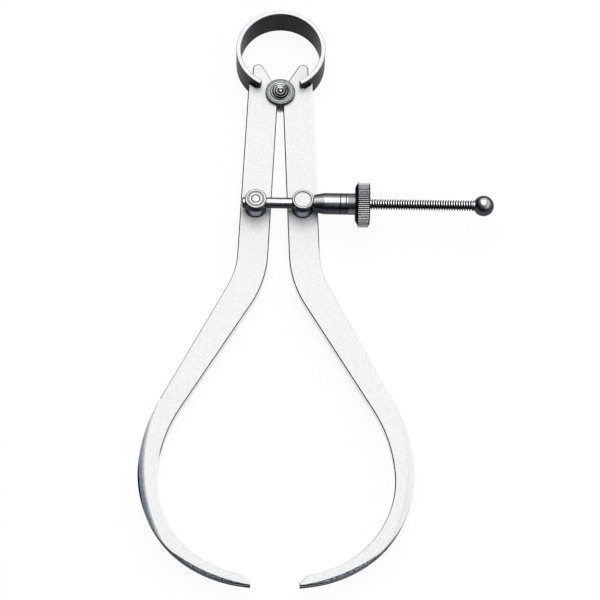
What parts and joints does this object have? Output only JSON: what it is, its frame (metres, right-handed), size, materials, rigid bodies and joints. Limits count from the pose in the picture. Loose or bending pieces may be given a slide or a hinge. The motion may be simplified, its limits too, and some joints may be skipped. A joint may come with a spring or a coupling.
{
  "type": "spring caliper",
  "caption": "Outside spring caliper: bowed flat legs on a fulcrum stud, pushed open by a bow spring and set by a screw with a knurled nut.",
  "frame": {"origin": "under the middle of the caliper's outline, on the plane of the bow spring's rear edge", "axes": "+Y from the tips to the bow spring, +X from the anchor post to the screw's ball, +Z out of the face with the screw"},
  "size_m": [0.0986, 0.1756, 0.0161],
  "materials": {
    "leg_steel": "bright satin, fine grain",
    "spring_steel": "dark satin faces, bright edges",
    "stud_steel": "turned, dark grey",
    "post_steel": "turned, bright",
    "dark_steel": "polished, dark"
  },
  "bodies": {
    "fulcrum": {"fulcrum_stud": "stud_steel", "bow_spring": "spring_steel"},
    "left_leg": {"left_leg": "leg_steel"},
    "right_leg": {"right_leg": "leg_steel"},
    "screw": {"anchor_post": "post_steel", "screw_lock_pin": "post_steel", "anchor_washer": "post_steel", "adjusting_screw": "dark_steel"},
    "guide": {"guide_post": "post_steel", "guide_washer": "post_steel", "nut_sleeve": "dark_steel"},
    "nut": {"adjusting_nut": "dark_steel"}
  },
  "joints": [
    {"name": "right_leg_swing", "type": "hinge", "parent": "fulcrum", "child": "right_leg", "pos_m": [-0.01154, 0.06205, 0.0048], "axis": [0, 0, 1], "range_deg": [-2.5, 23.5], "deforming": ["bow_spring"]},
    {"name": "left_leg_swing", "type": "hinge", "parent": "fulcrum", "child": "left_leg", "pos_m": [-0.01154, 0.06205, 0.0048], "axis": [0, 0, -1], "range_deg": [-2.5, 23.5]},
    {"name": "screw_swivel", "type": "hinge", "parent": "left_leg", "child": "screw", "pos_m": [-0.01818, 0.02481, 0.0048], "axis": [0, 0, 1], "range_deg": [-2.5, 23.5]},
    {"name": "guide_swivel", "type": "hinge", "parent": "right_leg", "child": "guide", "pos_m": [-0.00489, 0.02481, 0.0048], "axis": [0, 0, 1], "range_deg": [-23.5, 2.5]},
    {"name": "nut_spin", "type": "hinge", "parent": "guide", "child": "nut", "pos_m": [0.01046, 0.02481, 0.00955], "axis": [1, 0, 0], "range_deg": [-1578, 14812]}
  ],
  "couplings": [
    {"joint": "left_leg_swing", "follows": "right_leg_swing", "ratio": 1},
    {"joint": "screw_swivel", "follows": "right_leg_swing", "ratio": 1},
    {"joint": "guide_swivel", "follows": "right_leg_swing", "ratio": -1},
    {"joint": "nut_spin", "follows": "right_leg_swing", "ratio": 630.2}
  ]
}
